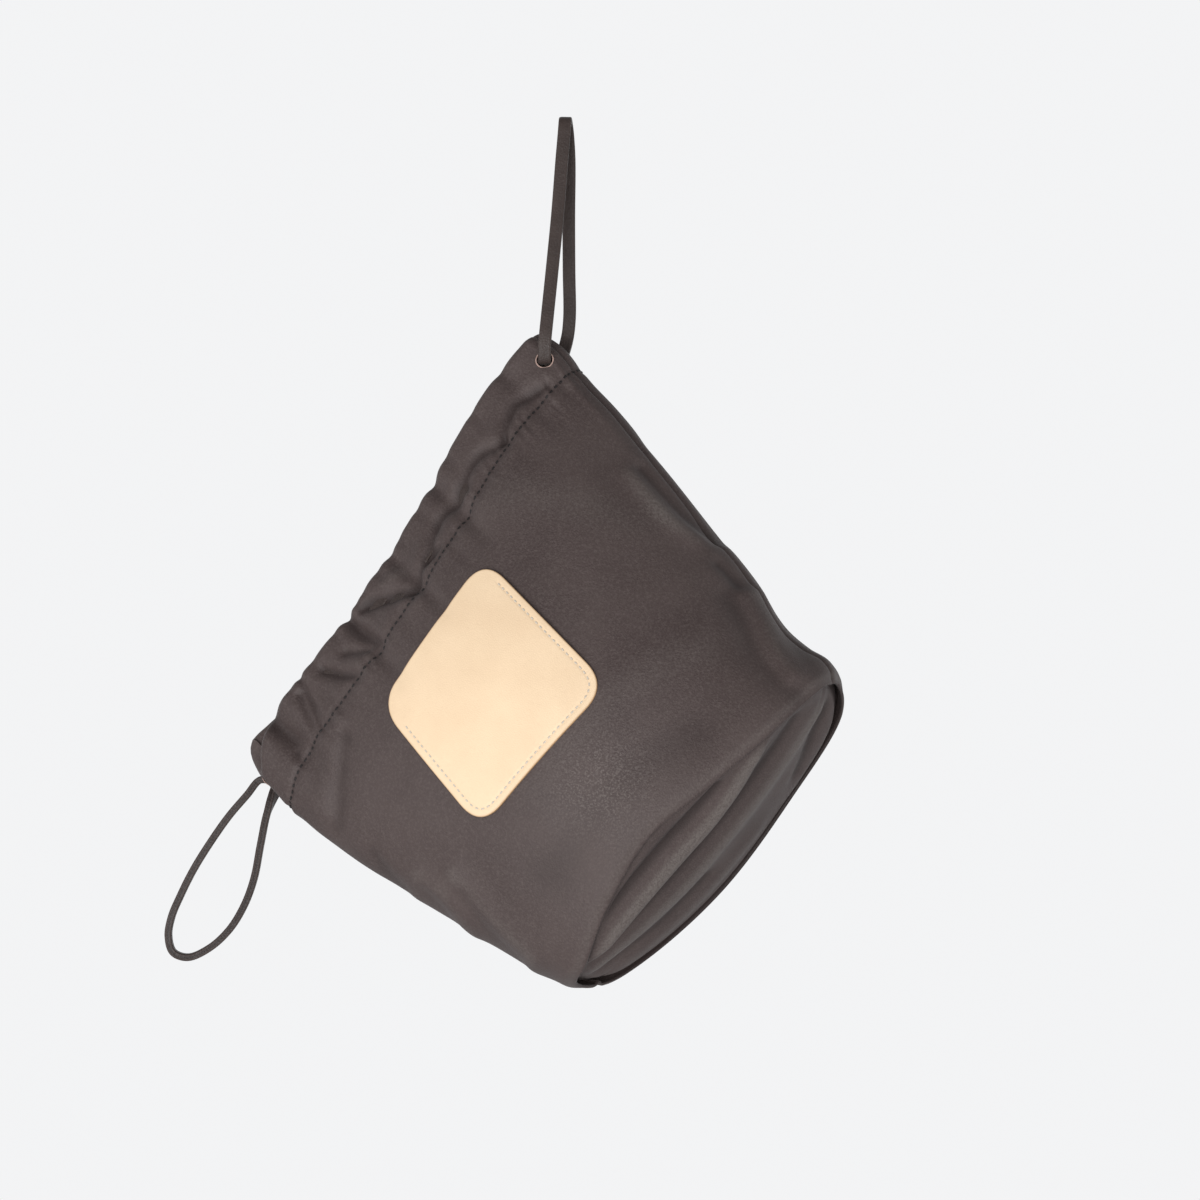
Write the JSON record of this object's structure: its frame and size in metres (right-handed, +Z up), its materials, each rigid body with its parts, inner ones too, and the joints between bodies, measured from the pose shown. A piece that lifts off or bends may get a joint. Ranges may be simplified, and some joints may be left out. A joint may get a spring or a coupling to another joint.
{
  "type": "leather drawstring bag",
  "caption": "Soft dark leather drawstring bag with an oval base and a pale leather patch pocket, hanging at a slant by one drawstring loop.",
  "frame": {"origin": "where the hanging loop bears on what it hangs from, at the inner side of the loop's top", "axes": "+Z up as the bag hangs, +X to the viewer's right, +Y away from the viewer towards the wall behind the bag"},
  "size_m": [0.3149, 0.1169, 0.4031],
  "materials": {
    "dark_leather": "soft dark brown leather, semi-matte with a fine grain",
    "natural_leather": "matte natural tan leather",
    "lace_leather": "dark brown leather lace, folded and stitched, semi-matte"
  },
  "bodies": {
    "root": {"front_panel": "dark_leather", "back_panel": "dark_leather", "base_panel": "dark_leather", "patch_pocket": "natural_leather", "hanging_run": "lace_leather", "free_run": "lace_leather", "hanging_loop": "lace_leather", "free_loop": "lace_leather"}
  },
  "joints": []
}
